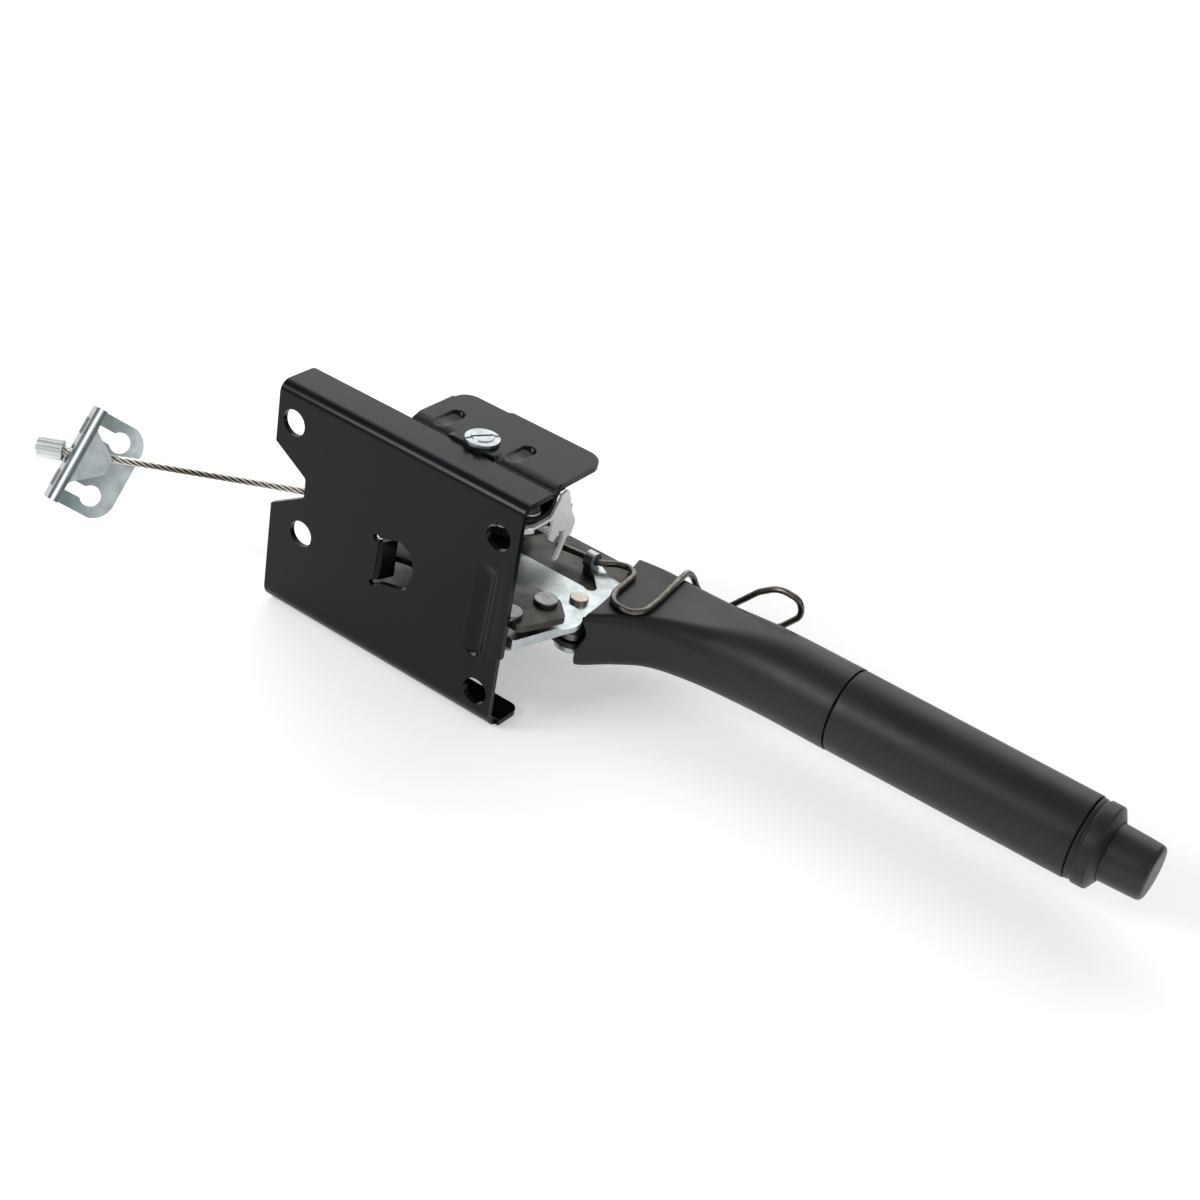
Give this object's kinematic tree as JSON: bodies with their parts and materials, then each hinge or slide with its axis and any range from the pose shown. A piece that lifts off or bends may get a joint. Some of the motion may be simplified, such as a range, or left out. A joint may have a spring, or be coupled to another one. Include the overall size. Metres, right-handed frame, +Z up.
{
  "type": "parking brake lever",
  "caption": "Hand parking brake lever on a flanged mounting plate, with ratchet, release button, wire rope and equaliser bracket.",
  "frame": {"origin": "centre of the mounting plate's upper left hole, on its outer (mounting) face", "axes": "+X from the plate towards the handle's end, +Y away from the mounting face into the mechanism, +Z up along the lever's pivot"},
  "size_m": [0.468, 0.1833, 0.1136],
  "materials": {
    "black_coat": "semi-gloss black electrocoat",
    "zinc": "bright zinc plate, slightly blue",
    "dark_steel": "dark phosphated steel",
    "plain_steel": "oiled steel",
    "rope_steel": "stranded wire rope",
    "wire_steel": "brownish spring steel",
    "grip": "matt charcoal moulding",
    "button": "matt charcoal moulding"
  },
  "bodies": {
    "frame": {"mounting_plate": "black_coat", "top_bracket": "black_coat", "bracket_screw": "zinc", "bracket_nut": "zinc", "switch_bracket": "zinc", "shelf_screw": "zinc", "shelf_washer": "zinc", "shelf_nut": "zinc", "bearing_plate_upper": "black_coat", "bearing_plate_lower": "black_coat", "toothed_sector": "dark_steel", "pivot_bolt": "zinc", "pivot_nut": "zinc", "pivot_washers": "zinc", "pivot_bush": "plain_steel", "thrust_washer": "zinc", "spacer_upper": "plain_steel", "spacer_lower": "plain_steel"},
    "lever": {"lever_channel": "dark_steel", "lever_plate": "zinc", "reinforcing_plate": "zinc", "drive_plate": "dark_steel", "drive_rivets": "zinc", "cable_quadrant": "dark_steel", "cable_wrap": "rope_steel", "cable_nipple": "zinc", "pawl_pin": "zinc", "pawl_pin_washer": "zinc", "lever_tube": "plain_steel", "grip_front": "grip", "grip_rear": "grip", "grip_collar": "grip", "spring_seat": "plain_steel", "lock_wire": "wire_steel"},
    "pawl": {"pawl": "dark_steel", "pawl_spring": "plain_steel"},
    "button": {"push_button": "button", "push_rod": "plain_steel", "button_spring": "plain_steel"},
    "cable": {"brake_cable": "rope_steel", "cable_ferrule": "zinc"},
    "equaliser": {"equaliser_bracket": "zinc"}
  },
  "joints": [
    {"name": "lever_pivot", "type": "hinge", "parent": "frame", "child": "lever", "pos_m": [0.06, 0.0724, -0.062], "axis": [0, 0, 1], "range_deg": [0, 50]},
    {"name": "button_push", "type": "slide", "parent": "lever", "child": "button", "axis": [-1, 0, 0], "range_m": [0, 0.006], "stiffness_N_per_m": 800, "springref_m": -0.004, "deforming": ["button_spring"]},
    {"name": "pawl_pivot", "type": "hinge", "parent": "lever", "child": "pawl", "pos_m": [0.12, 0.053, -0.062], "axis": [0, 0, 1], "range_deg": [0, 10.2]},
    {"name": "cable_travel", "type": "slide", "parent": "frame", "child": "cable", "axis": [0.8401, 0.5424, 0], "range_m": [0, 0.0245]},
    {"name": "equaliser_swivel", "type": "hinge", "parent": "cable", "child": "equaliser", "pos_m": [-0.07737, -0.04963, -0.032], "axis": [0.8401, 0.5424, 0], "range_deg": [-90, 90]}
  ],
  "couplings": [
    {"joint": "pawl_pivot", "follows": "button_push", "rad_per_m": 29.5},
    {"joint": "cable_travel", "follows": "lever_pivot", "m_per_rad": 0.028}
  ]
}
